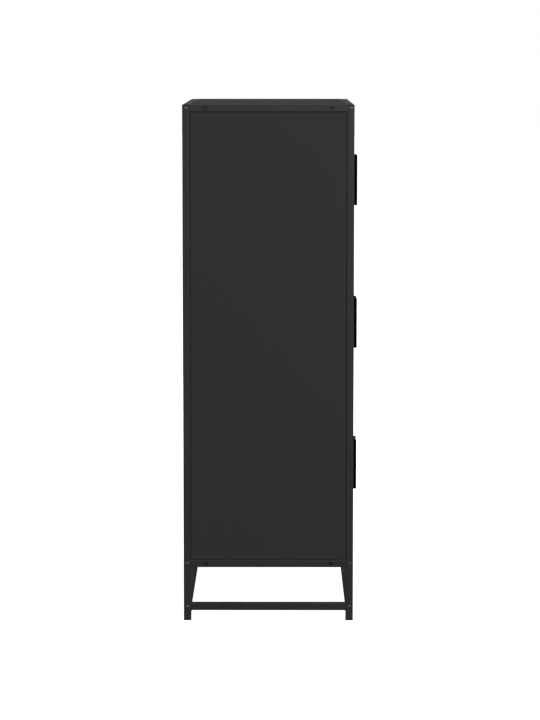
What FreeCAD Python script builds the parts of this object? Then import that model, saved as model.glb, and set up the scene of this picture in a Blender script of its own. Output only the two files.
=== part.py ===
import FreeCAD, Part
import os

# Tall chest of three drawers: a bolted steel tube frame, a board carcase and drawers on roller runners.
# Millimetres. +Z is up, the drawers open towards -Y, and the origin is under the middle, on the floor.

# Overall sizes
WIDTH = 600.0
HEIGHT = 1036.0
FRAME_DEPTH = 341.0

# Square steel tube
TUBE = 15.0
TUBE_WALL = 1.2
TUBE_CORNER = 2.0
STRETCHER_HEIGHT = 20.5
LOWER_RAIL_HEIGHT = 108.5
VENT_RADIUS = 3.0

# Plastic ends of the posts
FOOT_THICK = 3.0
FOOT_ROUND = 0.8
POST_CAP_THICK = 0.6
POST_CAP_ROUND = 0.4
POST_CAP_DROP = 1.0
PLUG_LENGTH = 12.0
PLUG_CLEARANCE = 0.1

# Bolts that join the cross rails to the posts
BOLT_RADIUS = 2.5
BOLT_HOLE_CLEARANCE = 0.25
BOLT_HEAD_RADIUS = 3.5
BOLT_HEAD_THICK = 1.8
BOLT_KEY_FLATS = 3.0
BOLT_KEY_DEPTH = 1.1
NUT_LENGTH = 12.0
BOLT_GRIP = 10.0

# Carcase boards
SIDE_THICK = 15.0
BOARD_THICK = 15.0
BACK_THICK = 3.0
FIT_GAP = 0.3
BOARD_EDGE_ROUND = 0.8

# Screws through the tube into the board edges, with their heads inside the tube
RAIL_SCREW_RADIUS = 1.75
RAIL_SCREW_HOLE_CLEARANCE = 0.2
RAIL_SCREW_HEAD_RADIUS = 2.9
RAIL_SCREW_HEAD_THICK = 2.4
RAIL_SCREW_ACCESS_RADIUS = 3.1
RAIL_SCREW_DIMPLE = 1.0
RAIL_SCREW_BITE = 22.0
RAIL_SCREW_FROM_END = 45.0
BACK_SCREW_FROM_END = 60.0

# Corner brackets between the side panels and the boards
BRACKET_LEG = 19.0
BRACKET_WIDTH = 18.0
BRACKET_THICK = 1.5
BRACKET_BEND = 1.0
BRACKET_FROM_END = 60.0

# Short pan-head screws of the brackets and runners
SHORT_SCREW_RADIUS = 1.75
SHORT_SCREW_HEAD_RADIUS = 3.2
SHORT_SCREW_HEAD_THICK = 0.8
SHORT_SCREW_BITE = 9.0

# Drawer fronts and boxes
DRAWERS = ("lower", "middle", "upper")
FRONT_THICK = 15.0
FRONT_GAP = 2.5
FRONT_RECESS = 6.0
FRONT_EDGE_ROUND = 0.8
BOX_BOARD = 12.0
BOX_LENGTH = 290.0
BOX_LIFT = 24.0
BOX_HEADROOM = 51.5
BOTTOM_THICK = 3.0
BOTTOM_LIFT = 12.0
GROOVE_DEPTH = 6.0
GROOVE_CLEARANCE = 0.2

# Cam fittings between the drawer front and its sides
CAM_RADIUS = 7.5
CAM_DEPTH = 9.0
CAM_FROM_END = 24.0
CAM_FROM_EDGE = 45.0
CAM_BOLT_RADIUS = 3.0
CAM_BOLT_BITE = 10.0
CAM_CLEARANCE = 0.3

# Screws through the box sides into the box back
BOX_SCREW_RADIUS = 2.0
BOX_SCREW_HEAD_RADIUS = 3.8
BOX_SCREW_LENGTH = 34.0
BOX_SCREW_FROM_EDGE = 45.0

# Loop pulls: two uprights with set-back cross bars, on two posts
PULL_HEIGHT = 104.0
PULL_SPACING = 53.0
PULL_BAR = 8.0
PULL_BAR_DEPTH = 7.0
PULL_PROJECTION = 13.5
PULL_ABOVE_MIDDLE = 3.0
PULL_SET_BACK = 1.5
PULL_POST_RADIUS = 5.0
PULL_ROUND = 0.8
PULL_SCREW_RADIUS = 2.0
PULL_SCREW_HEAD_RADIUS = 4.0
PULL_SCREW_HEAD_THICK = 2.2
PULL_SCREW_BITE = 9.0
PULL_SCREW_HOLE_CLEARANCE = 0.25

# Roller runners
SHEET = 1.2
RUNNER_SPACE = 12.5
RUNNER_LENGTH = 280.0
RUNNER_BEHIND_FRONT = 6.5
RUNNER_FLANGE = 9.5
RUNNER_FOOT = 13.0
FLANGE_ABOVE_BOX_BOTTOM = 1.0
RUNNING_FLANGE_GAP = 3.0
HOLD_DOWN_START = 36.0
RUNNER_SCREW_FROM_END = 42.0
ROLLER_RADIUS = 8.5
ROLLER_WIDTH = 7.0
ROLLER_ROUND = 0.6
ROLL_GAP = 0.3
RUNNING_CLEARANCE = 0.05
PIN_RADIUS = 2.5
PIN_HEAD_RADIUS = 4.0
PIN_HEAD_THICK = 0.8
FRONT_ROLLER_BEHIND_FRONT = 17.5
REAR_ROLLER_FROM_BOX_END = 18.5
FRONT_ROLLER_FROM_WALL = 2.6
REAR_ROLLER_FROM_WALL = 3.5

# Planes that the sizes above give
OVERALL_DEPTH = FRAME_DEPTH + PULL_PROJECTION
FRAME_FRONT = PULL_PROJECTION - OVERALL_DEPTH / 2
FRAME_BACK = OVERALL_DEPTH / 2
FRAME_SIDE = WIDTH / 2
INNER_SIDE = FRAME_SIDE - TUBE
INNER_FRONT = FRAME_FRONT + TUBE
INNER_BACK = FRAME_BACK - TUBE
RAIL_TOP = HEIGHT
POST_TOP = HEIGHT - POST_CAP_DROP - POST_CAP_THICK
TOP_RAIL_HEIGHT = RAIL_TOP - TUBE
LOWER_RAIL_TOP = LOWER_RAIL_HEIGHT + TUBE
RAIL_HEIGHTS = (STRETCHER_HEIGHT, LOWER_RAIL_HEIGHT, TOP_RAIL_HEIGHT)
BOARD_HEIGHTS = (LOWER_RAIL_TOP - BOARD_THICK, RAIL_TOP - BOARD_THICK)
BACK_PANEL_FRONT = INNER_BACK - BACK_THICK

# The drawers share the opening between the bottom board and the top rail, with equal gaps
OPENING_TOP = min(TOP_RAIL_HEIGHT, RAIL_TOP - BOARD_THICK)
FRONT_HEIGHT = (OPENING_TOP - LOWER_RAIL_TOP - FRONT_GAP * (len(DRAWERS) + 1)) / len(DRAWERS)
BOX_HEIGHT = FRONT_HEIGHT - BOX_LIFT - BOX_HEADROOM
FRONT_FACE = FRAME_FRONT + FRONT_RECESS
FRONT_REAR = FRONT_FACE + FRONT_THICK
BOX_REAR = FRONT_REAR + BOX_LENGTH
BOX_SIDE = INNER_SIDE - RUNNER_SPACE
BOX_INNER_SIDE = BOX_SIDE - BOX_BOARD
PULL_FACE = FRAME_FRONT - PULL_PROJECTION


def front_bottom(level):
    """Height of the lower edge of a drawer front, counted from the lowest drawer."""
    return LOWER_RAIL_TOP + FRONT_GAP + level * (FRONT_HEIGHT + FRONT_GAP)


def box_bottom(level):
    """Height of the lower edge of a drawer box."""
    return front_bottom(level) + BOX_LIFT


def block(low, high):
    """A box between two corners."""
    size = [high[i] - low[i] for i in range(3)]
    return Part.makeBox(size[0], size[1], size[2], FreeCAD.Vector(*low))


def rod(radius, start, end):
    """A round bar between two points."""
    base = FreeCAD.Vector(*start)
    run = FreeCAD.Vector(*end) - base
    return Part.makeCylinder(radius, run.Length, base, run)


def joined(shapes):
    """One solid from pieces that touch or overlap."""
    return shapes[0].fuse(list(shapes[1:])).removeSplitter()


def group(shapes):
    """Several separate solids in one piece of the model."""
    return Part.makeCompound(list(shapes))


def edges_along(shape, axis):
    """The straight edges of a shape that run along X, Y or Z (0, 1 or 2)."""
    found = []
    for edge in shape.Edges:
        ends = [vertex.Point for vertex in edge.Vertexes]
        if len(ends) == 2:
            run = ends[1] - ends[0]
            if abs(abs(run[axis]) - run.Length) < 1e-6 and run.Length > 1e-6:
                found.append(edge)
    return found


def tube_body(low, high, axis, radius):
    """A bar with its four long edges rounded."""
    body = block(low, high)
    return body.makeFillet(radius, edges_along(body, axis))


def tube_outer(low, high, axis):
    """The outside of a square tube."""
    return tube_body(low, high, axis, TUBE_CORNER)


def tube_void(low, high, axis):
    """The hollow of a square tube, between the same ends."""
    inner_low = [low[i] if i == axis else low[i] + TUBE_WALL for i in range(3)]
    inner_high = [high[i] if i == axis else high[i] - TUBE_WALL for i in range(3)]
    corner = max(TUBE_CORNER - TUBE_WALL, 0.2)
    return tube_body(inner_low, inner_high, axis, corner)


def mirrored(shape):
    """The same piece on the other side of the chest."""
    return shape.mirror(FreeCAD.Vector(0, 0, 0), FreeCAD.Vector(1, 0, 0))


def both_sides(shape):
    """A piece and its mirror image."""
    return [shape, mirrored(shape)]


def save(name, shape):
    """Write one named piece."""
    shape.exportStep("parts/" + name + ".step")


def post_ranges():
    """Low and high Y of the front and the rear posts."""
    return ((FRAME_FRONT, INNER_FRONT), (INNER_BACK, FRAME_BACK))


def post_centres():
    """Y of the middle of the front and the rear posts."""
    return [(low + high) / 2 for low, high in post_ranges()]


def rail_screw_places():
    """Y of the screws that hold a board to each side rail."""
    return (FRAME_FRONT + RAIL_SCREW_FROM_END, FRAME_BACK - RAIL_SCREW_FROM_END)


def board_screw_heights():
    """Height of the screws in the lower and the top boards, at mid thickness of each board."""
    return [height + BOARD_THICK / 2 for height in BOARD_HEIGHTS]


def back_screw_places():
    """X of the three screws in each rear rail."""
    edge = INNER_SIDE - BACK_SCREW_FROM_END
    return (-edge, 0.0, edge)


# Steel frame

def dimple(place, outward):
    """The countersink round the access hole of a rail screw; outward points out of the tube."""
    out = FreeCAD.Vector(*outward)
    deep = FreeCAD.Vector(*place) - out * RAIL_SCREW_DIMPLE
    return Part.makeCone(RAIL_SCREW_ACCESS_RADIUS, RAIL_SCREW_ACCESS_RADIUS + 2 * RAIL_SCREW_DIMPLE,
                         2 * RAIL_SCREW_DIMPLE, deep, out)


def side_frame():
    """Welded side frame on the +X side: two posts, top rail, lower rail and stretcher."""
    outers = []
    voids = []
    for low_y, high_y in post_ranges():
        low = (INNER_SIDE, low_y, FOOT_THICK)
        high = (FRAME_SIDE, high_y, POST_TOP)
        outers.append(tube_outer(low, high, 2))
        voids.append(tube_void(low, high, 2))
        voids.append(block((INNER_SIDE - 1, low_y, POST_TOP), (FRAME_SIDE + 1, high_y, RAIL_TOP + 1)))
    for height in RAIL_HEIGHTS:
        top = height + TUBE
        outers.append(tube_outer((INNER_SIDE, INNER_FRONT - TUBE_CORNER, height),
                                 (FRAME_SIDE, INNER_BACK + TUBE_CORNER, top), 1))
        voids.append(tube_void((INNER_SIDE, INNER_FRONT, height), (FRAME_SIDE, INNER_BACK, top), 1))
        middle = (INNER_SIDE + TUBE / 2, height + TUBE / 2)
        voids.append(rod(VENT_RADIUS, (middle[0], FRAME_FRONT + TUBE / 2, middle[1]),
                         (middle[0], FRAME_BACK - TUBE / 2, middle[1])))
        for centre in post_centres():
            voids.append(rod(BOLT_RADIUS + BOLT_HOLE_CLEARANCE, (INNER_SIDE - 1, centre, middle[1]),
                             (FRAME_SIDE + 1, centre, middle[1])))
    for height in board_screw_heights():
        for place in rail_screw_places():
            voids.append(rod(RAIL_SCREW_ACCESS_RADIUS, (FRAME_SIDE - TUBE / 2, place, height),
                             (FRAME_SIDE + 1, place, height)))
            voids.append(dimple((FRAME_SIDE, place, height), (1, 0, 0)))
            voids.append(rod(RAIL_SCREW_RADIUS + RAIL_SCREW_HOLE_CLEARANCE, (INNER_SIDE - 1, place, height),
                             (FRAME_SIDE - TUBE / 2, place, height)))
    return joined(outers).cut(voids)


def cross_rail(front, height):
    """A tube between the side frames, with a threaded nut block welded into each end."""
    low_y, high_y = post_ranges()[0 if front else 1]
    low = (-INNER_SIDE, low_y, height)
    high = (INNER_SIDE, high_y, height + TUBE)
    tube = tube_outer(low, high, 0)
    void = tube_void((low[0] + NUT_LENGTH, low_y, height), (high[0] - NUT_LENGTH, high_y, height + TUBE), 0)
    centre = (low_y + high_y) / 2
    middle = height + TUBE / 2
    cuts = [void, rod(BOLT_RADIUS, (low[0] - 1, centre, middle), (low[0] + NUT_LENGTH + 1, centre, middle)),
            rod(BOLT_RADIUS, (high[0] - NUT_LENGTH - 1, centre, middle), (high[0] + 1, centre, middle))]
    if not front and height > STRETCHER_HEIGHT:
        board = board_screw_heights()[0 if height == LOWER_RAIL_HEIGHT else 1]
        for place in back_screw_places():
            cuts.append(rod(RAIL_SCREW_ACCESS_RADIUS, (place, centre, board), (place, FRAME_BACK + 1, board)))
            cuts.append(dimple((place, FRAME_BACK, board), (0, 1, 0)))
            cuts.append(rod(RAIL_SCREW_RADIUS + RAIL_SCREW_HOLE_CLEARANCE, (place, INNER_BACK - 1, board),
                            (place, centre, board)))
    return tube.cut(cuts)


def hex_key(flats, start, end):
    """A six-sided pocket between two points on an X line."""
    across_corners = flats / 3 ** 0.5
    turn = FreeCAD.Rotation(FreeCAD.Vector(1, 0, 0), 60)
    arm = FreeCAD.Vector(0, across_corners, 0)
    centre = FreeCAD.Vector(*start)
    points = []
    for _ in range(6):
        points.append(centre + arm)
        arm = turn.multVec(arm)
    face = Part.Face(Part.makePolygon(points + [points[0]]))
    return face.extrude(FreeCAD.Vector(*end) - centre)


def frame_bolt(centre, height):
    """Low-head bolt through a +X post into a cross rail."""
    shank = rod(BOLT_RADIUS, (FRAME_SIDE, centre, height), (INNER_SIDE - BOLT_GRIP, centre, height))
    head = rod(BOLT_HEAD_RADIUS, (FRAME_SIDE, centre, height), (FRAME_SIDE + BOLT_HEAD_THICK, centre, height))
    rim = [edge for edge in head.Edges if edge.BoundBox.XMin > FRAME_SIDE + BOLT_HEAD_THICK / 2]
    head = head.makeFillet(BOLT_HEAD_THICK * 0.6, rim)
    key = hex_key(BOLT_KEY_FLATS, (FRAME_SIDE + BOLT_HEAD_THICK + 1, centre, height),
                  (FRAME_SIDE + BOLT_HEAD_THICK - BOLT_KEY_DEPTH, centre, height))
    return joined([shank, head]).cut(key)


def frame_bolts():
    """Twelve bolts: two posts, three rails, both sides."""
    bolts = []
    for height in RAIL_HEIGHTS:
        for centre in post_centres():
            bolts += both_sides(frame_bolt(centre, height + TUBE / 2))
    return group(bolts)


def post_end(low_y, low_z, thick, rounding, rounded_at_top):
    """A plastic end for a +X post: a flange as wide as the tube and a plug inside it."""
    flange_high = low_z + thick
    flange = block((INNER_SIDE, low_y, low_z), (FRAME_SIDE, low_y + TUBE, flange_high))
    flange = flange.makeFillet(TUBE_CORNER, edges_along(flange, 2))
    outer_z = flange_high if rounded_at_top else low_z
    rim = [edge for edge in flange.Edges
           if abs(edge.BoundBox.ZMin - outer_z) < 1e-3 and abs(edge.BoundBox.ZMax - outer_z) < 1e-3]
    flange = flange.makeFillet(rounding, rim)
    inset = TUBE_WALL + PLUG_CLEARANCE
    plug_low = low_z - PLUG_LENGTH if rounded_at_top else flange_high
    plug = block((INNER_SIDE + inset, low_y + inset, plug_low),
                 (FRAME_SIDE - inset, low_y + TUBE - inset, plug_low + PLUG_LENGTH))
    plug = plug.makeChamfer(TUBE_CORNER / 2, edges_along(plug, 2))
    return joined([flange, plug])


def post_clearance():
    """Bolt paths through the plugs of the posts, for a plug that reaches a bolt."""
    paths = []
    for height in RAIL_HEIGHTS:
        for centre in post_centres():
            paths.append(rod(BOLT_RADIUS + BOLT_HOLE_CLEARANCE, (INNER_SIDE - 1, centre, height + TUBE / 2),
                             (FRAME_SIDE + 1, centre, height + TUBE / 2)))
    return paths


def post_ends(low_z, thick, rounding, rounded_at_top):
    """The four ends of one kind."""
    ends = []
    for low_y, _ in post_ranges():
        end = post_end(low_y, low_z, thick, rounding, rounded_at_top).cut(post_clearance())
        ends += both_sides(end)
    return group(ends)


# Board carcase

def rail_screw_x(place, height):
    """Screw through a +X side rail into the edge of a board."""
    seat = INNER_SIDE + TUBE_WALL
    end = INNER_SIDE - FIT_GAP - RAIL_SCREW_BITE
    shank = rod(RAIL_SCREW_RADIUS, (seat, place, height), (end, place, height))
    head = rod(RAIL_SCREW_HEAD_RADIUS, (seat, place, height), (seat + RAIL_SCREW_HEAD_THICK, place, height))
    key = hex_key(BOLT_KEY_FLATS, (seat + RAIL_SCREW_HEAD_THICK + 1, place, height),
                  (seat + RAIL_SCREW_HEAD_THICK - BOLT_KEY_DEPTH, place, height))
    return joined([shank, head]).cut(key)


def back_screw(place, height):
    """Screw through a rear rail and the back panel into the edge of a board."""
    seat = INNER_BACK + TUBE_WALL
    end = BACK_PANEL_FRONT - RAIL_SCREW_BITE
    shank = rod(RAIL_SCREW_RADIUS, (place, seat, height), (place, end, height))
    head = rod(RAIL_SCREW_HEAD_RADIUS, (place, seat, height), (place, seat + RAIL_SCREW_HEAD_THICK, height))
    return joined([shank, head])


def board_screws():
    """Eight screws through the side rails into the top and bottom boards."""
    screws = []
    for height in board_screw_heights():
        for place in rail_screw_places():
            screws += both_sides(rail_screw_x(place, height))
    return group(screws)


def back_panel_screws():
    """Six screws through the rear rails and the back panel."""
    return group([back_screw(place, height) for height in board_screw_heights()
                  for place in back_screw_places()])


def bracket_places():
    """Y of the two brackets in each corner."""
    return (INNER_FRONT + BRACKET_FROM_END, BACK_PANEL_FRONT - BRACKET_FROM_END)


def bracket_corners():
    """Board face that a bracket lies on, with +1 where its other leg goes up and -1 where it goes down."""
    return ((LOWER_RAIL_TOP, 1), (RAIL_TOP - BOARD_THICK, -1))


def bracket_screw_pairs(place, face, side):
    """The two screws of one bracket, first into the board, then into the side panel."""
    out = BRACKET_LEG * 0.62
    board_seat = face + side * BRACKET_THICK
    panel_seat = INNER_SIDE - BRACKET_THICK
    pairs = (((INNER_SIDE - out, place, board_seat), (0, 0, -side)),
             ((panel_seat, place, face + side * out), (1, 0, 0)))
    return pairs


def short_screw(seat, direction, bite):
    """Pan-head screw: its head lies outside the seat and its shank runs along direction."""
    base = FreeCAD.Vector(*seat)
    run = FreeCAD.Vector(*direction)
    head = Part.makeCylinder(SHORT_SCREW_HEAD_RADIUS, SHORT_SCREW_HEAD_THICK, base, run * -1)
    shank = Part.makeCylinder(SHORT_SCREW_RADIUS, bite, base, run)
    return joined([shank, head])


def bracket(place, face, side):
    """L-shaped bracket in a corner on the +X side."""
    low_y = place - BRACKET_WIDTH / 2
    high_y = place + BRACKET_WIDTH / 2
    board_leg = [face, face + side * BRACKET_THICK]
    panel_leg = [face, face + side * BRACKET_LEG]
    flat = block((INNER_SIDE - BRACKET_LEG, low_y, min(board_leg)), (INNER_SIDE, high_y, max(board_leg)))
    upright = block((INNER_SIDE - BRACKET_THICK, low_y, min(panel_leg)), (INNER_SIDE, high_y, max(panel_leg)))
    shape = joined([flat, upright])
    inner = [edge for edge in edges_along(shape, 1)
             if abs(edge.BoundBox.XMin - (INNER_SIDE - BRACKET_THICK)) < 1e-3
             and abs(edge.BoundBox.ZMin - board_leg[1]) < 1e-3]
    shape = shape.makeFillet(BRACKET_BEND, inner)
    holes = [Part.makeCylinder(SHORT_SCREW_RADIUS, BRACKET_THICK * 3, FreeCAD.Vector(*seat)
                               - FreeCAD.Vector(*run) * BRACKET_THICK, FreeCAD.Vector(*run))
             for seat, run in bracket_screw_pairs(place, face, side)]
    return shape.cut(holes)


def corner_brackets():
    """Eight brackets: two in each long corner."""
    shapes = []
    for face, side in bracket_corners():
        for place in bracket_places():
            shapes += both_sides(bracket(place, face, side))
    return group(shapes)


def bracket_screws():
    """Two screws in each bracket."""
    shapes = []
    for face, side in bracket_corners():
        for place in bracket_places():
            for seat, run in bracket_screw_pairs(place, face, side):
                shapes += both_sides(short_screw(seat, run, SHORT_SCREW_BITE))
    return group(shapes)


def runner_screw_places():
    """Y of the three screws of each cabinet runner."""
    start, end = runner_range()
    return (start + RUNNER_SCREW_FROM_END, (start + end) / 2, end - RUNNER_SCREW_FROM_END)


def runner_range():
    """Front and rear ends of a cabinet runner."""
    start = FRONT_REAR + RUNNER_BEHIND_FRONT
    return start, start + RUNNER_LENGTH


def track_height(level):
    """Upper face of the cabinet runner's lower flange, where the rear rollers run."""
    return box_bottom(level) + FLANGE_ABOVE_BOX_BOTTOM


def roller_height(level):
    """Height of the roller pins."""
    return track_height(level) + ROLL_GAP + ROLLER_RADIUS


def running_flange_height(level):
    """Lower face of the drawer runner's flange, which rides on the front rollers."""
    return roller_height(level) + ROLLER_RADIUS + ROLL_GAP


def cabinet_runner_screw_set():
    """Three screws in each cabinet runner, six runners."""
    shapes = []
    for level in range(len(DRAWERS)):
        for place in runner_screw_places():
            seat = (INNER_SIDE - SHEET, place, roller_height(level))
            shapes += both_sides(short_screw(seat, (1, 0, 0), SHORT_SCREW_BITE))
    return shapes


def side_panel():
    """Side board on the +X side, between the posts and the rails, with its screw holes."""
    panel = block((INNER_SIDE, INNER_FRONT + FIT_GAP, LOWER_RAIL_TOP + FIT_GAP),
                  (INNER_SIDE + SIDE_THICK, INNER_BACK - FIT_GAP, TOP_RAIL_HEIGHT - FIT_GAP))
    rim = [edge for edge in panel.Edges if edge.BoundBox.XMin > INNER_SIDE + SIDE_THICK - 1e-3]
    panel = panel.makeFillet(BOARD_EDGE_ROUND, rim)
    holes = []
    for face, side in bracket_corners():
        for place in bracket_places():
            seat, run = bracket_screw_pairs(place, face, side)[1]
            holes.append(short_screw(seat, run, SHORT_SCREW_BITE))
    for screw in cabinet_runner_screw_set():
        if screw.BoundBox.XMin > 0:
            holes.append(screw)
    return panel.cut(holes)


def flat_board(low_z, rear):
    """Top or bottom board inside the frame, from the front rail to the given rear plane."""
    board = block((-INNER_SIDE + FIT_GAP, INNER_FRONT + FIT_GAP, low_z),
                  (INNER_SIDE - FIT_GAP, rear, low_z + BOARD_THICK))
    rim = [edge for edge in board.Edges if edge.BoundBox.ZMin > low_z + BOARD_THICK - 1e-3]
    board = board.makeFillet(BOARD_EDGE_ROUND, rim)
    holes = [board_screws(), back_panel_screws(), bracket_screws()]
    return board.cut(holes)


def back_panel():
    """Thin back, clamped between the boards and the rear rails."""
    panel = block((-INNER_SIDE + FIT_GAP, BACK_PANEL_FRONT, BOARD_HEIGHTS[0] + FIT_GAP),
                  (INNER_SIDE - FIT_GAP, INNER_BACK, RAIL_TOP - FIT_GAP))
    return panel.cut(back_panel_screws())


# Runners

def cabinet_runner(level):
    """Channel on the +X side panel, with a pin for the front roller."""
    start, end = runner_range()
    low = track_height(level) - SHEET
    lid = running_flange_height(level) + SHEET + ROLL_GAP
    wall = INNER_SIDE
    web = block((wall - SHEET, start, low), (wall, end, lid + SHEET))
    track = block((wall - RUNNER_FLANGE, start, low), (wall, end, low + SHEET))
    hold_down = block((wall - RUNNER_FLANGE, start + HOLD_DOWN_START, lid), (wall, end, lid + SHEET))
    pin_y = FRONT_REAR + FRONT_ROLLER_BEHIND_FRONT
    pin_z = roller_height(level)
    face = wall - FRONT_ROLLER_FROM_WALL
    shoulder = rod(PIN_HEAD_RADIUS, (wall - SHEET, pin_y, pin_z), (face + ROLL_GAP, pin_y, pin_z))
    pin_end = face - ROLLER_WIDTH - ROLL_GAP
    pin = rod(PIN_RADIUS, (wall - SHEET, pin_y, pin_z), (pin_end, pin_y, pin_z))
    head = rod(PIN_HEAD_RADIUS, (pin_end, pin_y, pin_z), (pin_end - PIN_HEAD_THICK, pin_y, pin_z))
    runner = joined([web, track, hold_down, shoulder, pin, head])
    holes = [rod(SHORT_SCREW_RADIUS, (wall - SHEET * 2, place, pin_z), (wall + 1, place, pin_z))
             for place in runner_screw_places()]
    return runner.cut(holes)


def roller(face, pin_y, pin_z):
    """Nylon roller whose side nearer the wall is at the given X."""
    wheel = rod(ROLLER_RADIUS, (face, pin_y, pin_z), (face - ROLLER_WIDTH, pin_y, pin_z))
    wheel = wheel.makeFillet(ROLLER_ROUND, [edge for edge in wheel.Edges if len(edge.Vertexes) == 1])
    bore = rod(PIN_RADIUS + RUNNING_CLEARANCE, (face + 1, pin_y, pin_z),
               (face - ROLLER_WIDTH - 1, pin_y, pin_z))
    return wheel.cut(bore)


def front_rollers(level):
    """The pair of rollers at the front of the cabinet runners."""
    pin_y = FRONT_REAR + FRONT_ROLLER_BEHIND_FRONT
    return group(both_sides(roller(INNER_SIDE - FRONT_ROLLER_FROM_WALL, pin_y, roller_height(level))))


def rear_rollers(level):
    """The pair of rollers at the rear of the drawer runners."""
    pin_y = BOX_REAR - REAR_ROLLER_FROM_BOX_END
    return group(both_sides(roller(INNER_SIDE - REAR_ROLLER_FROM_WALL, pin_y, roller_height(level))))


def drawer_runner_screw_places():
    """Y of the two screws up into each drawer side."""
    return (FRONT_REAR + RUNNER_SCREW_FROM_END, BOX_REAR - RUNNER_SCREW_FROM_END)


def drawer_runner_screw(level, place):
    """Screw up through a drawer runner's foot into a +X drawer side."""
    seat = (BOX_SIDE - BOX_BOARD / 2, place, box_bottom(level) - SHEET)
    return short_screw(seat, (0, 0, 1), SHORT_SCREW_BITE + SHEET)


def drawer_runner(level):
    """Z-shaped runner under and beside a +X drawer side, with a pin for the rear roller."""
    start = FRONT_REAR + FIT_GAP
    end = BOX_REAR - REAR_ROLLER_FROM_BOX_END + ROLLER_RADIUS
    low = box_bottom(level)
    flange = running_flange_height(level)
    web = block((BOX_SIDE, start, low - SHEET), (BOX_SIDE + SHEET, end, flange + SHEET))
    foot = block((BOX_SIDE + SHEET - RUNNER_FOOT, start, low - SHEET), (BOX_SIDE + SHEET, end, low))
    running = block((BOX_SIDE, start, flange), (INNER_SIDE - RUNNING_FLANGE_GAP, end, flange + SHEET))
    pin_y = BOX_REAR - REAR_ROLLER_FROM_BOX_END
    pin_z = roller_height(level)
    face = INNER_SIDE - REAR_ROLLER_FROM_WALL
    shoulder = rod(PIN_HEAD_RADIUS, (BOX_SIDE + SHEET, pin_y, pin_z),
                   (face - ROLLER_WIDTH - ROLL_GAP, pin_y, pin_z))
    pin = rod(PIN_RADIUS, (BOX_SIDE + SHEET, pin_y, pin_z), (face + ROLL_GAP, pin_y, pin_z))
    head = rod(PIN_HEAD_RADIUS, (face + ROLL_GAP, pin_y, pin_z),
               (face + ROLL_GAP + PIN_HEAD_THICK, pin_y, pin_z))
    runner = joined([web, foot, running, shoulder, pin, head])
    holes = [drawer_runner_screw(level, place) for place in drawer_runner_screw_places()]
    return runner.cut(holes)


# Drawers

def groove(level):
    """The slot that the drawer bottom slides into, cut in the boards round it."""
    reach = BOX_INNER_SIDE + GROOVE_DEPTH
    low = box_bottom(level) + BOTTOM_LIFT
    return block((-reach, FRONT_REAR - GROOVE_DEPTH, low),
                 (reach, BOX_REAR - BOX_BOARD + GROOVE_DEPTH, low + BOTTOM_THICK + GROOVE_CLEARANCE))


def cam_heights(level):
    """Heights of the two cam fittings in each drawer side."""
    return (box_bottom(level) + CAM_FROM_EDGE, box_bottom(level) + BOX_HEIGHT - CAM_FROM_EDGE)


def cam_places(level):
    """Where the cam bolts enter the front, on the +X side."""
    return [(BOX_SIDE - BOX_BOARD / 2, FRONT_REAR, height) for height in cam_heights(level)]


def cam_bolt(place, radius):
    """A cam bolt, or the hole for it, from inside the front to the middle of its cam."""
    x, y, z = place
    return rod(radius, (x, y - CAM_BOLT_BITE, z), (x, y + CAM_FROM_END, z))


def cam_disc(place, radius):
    """A cam, or the pocket for it, let into the inner face of a +X drawer side."""
    x, y, z = place
    centre = y + CAM_FROM_END
    return rod(radius, (BOX_INNER_SIDE, centre, z), (BOX_INNER_SIDE + CAM_DEPTH, centre, z))


def cam_fittings(level):
    """Four cams and four cam bolts."""
    shapes = []
    for place in cam_places(level):
        shapes += both_sides(cam_bolt(place, CAM_BOLT_RADIUS))
        disc = cam_disc(place, CAM_RADIUS).cut(cam_bolt(place, CAM_BOLT_RADIUS + CAM_CLEARANCE))
        slot = block((BOX_INNER_SIDE - 1, place[1] + CAM_FROM_END - CAM_RADIUS * 0.6, place[2] - 0.6),
                     (BOX_INNER_SIDE + 1.2, place[1] + CAM_FROM_END + CAM_RADIUS * 0.6, place[2] + 0.6))
        shapes += both_sides(disc.cut(slot))
    return group(shapes)


def box_screw(level, height):
    """Countersunk screw through a +X drawer side into the end of the back."""
    x = BOX_SIDE
    y = BOX_REAR - BOX_BOARD / 2
    sink = BOX_SCREW_HEAD_RADIUS - BOX_SCREW_RADIUS
    head = Part.makeCone(BOX_SCREW_HEAD_RADIUS, BOX_SCREW_RADIUS, sink,
                         FreeCAD.Vector(x, y, height), FreeCAD.Vector(-1, 0, 0))
    shank = rod(BOX_SCREW_RADIUS, (x - sink, y, height), (x - BOX_SCREW_LENGTH, y, height))
    return joined([head, shank])


def box_screw_shapes(level):
    """The four screws at the back corners of a drawer box."""
    low = box_bottom(level) + BOX_SCREW_FROM_EDGE
    high = box_bottom(level) + BOX_HEIGHT - BOX_SCREW_FROM_EDGE
    return both_sides(box_screw(level, low)) + both_sides(box_screw(level, high))


def runner_screw_shapes(level):
    """The four screws up through the drawer runners."""
    shapes = []
    for place in drawer_runner_screw_places():
        shapes += both_sides(drawer_runner_screw(level, place))
    return shapes


def drawer_side(level):
    """Side of a drawer box on the +X side."""
    low = box_bottom(level)
    board = block((BOX_INNER_SIDE, FRONT_REAR, low), (BOX_SIDE, BOX_REAR, low + BOX_HEIGHT))
    cuts = [groove(level)] + box_screw_shapes(level) + runner_screw_shapes(level)
    for place in cam_places(level):
        cuts.append(cam_bolt(place, CAM_BOLT_RADIUS + CAM_CLEARANCE))
        cuts.append(cam_disc(place, CAM_RADIUS + CAM_CLEARANCE / 2))
    return board.cut(cuts)


def drawer_back(level):
    """Back of a drawer box, between its sides."""
    low = box_bottom(level)
    board = block((-BOX_INNER_SIDE, BOX_REAR - BOX_BOARD, low), (BOX_INNER_SIDE, BOX_REAR, low + BOX_HEIGHT))
    return board.cut([groove(level)] + box_screw_shapes(level))


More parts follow.
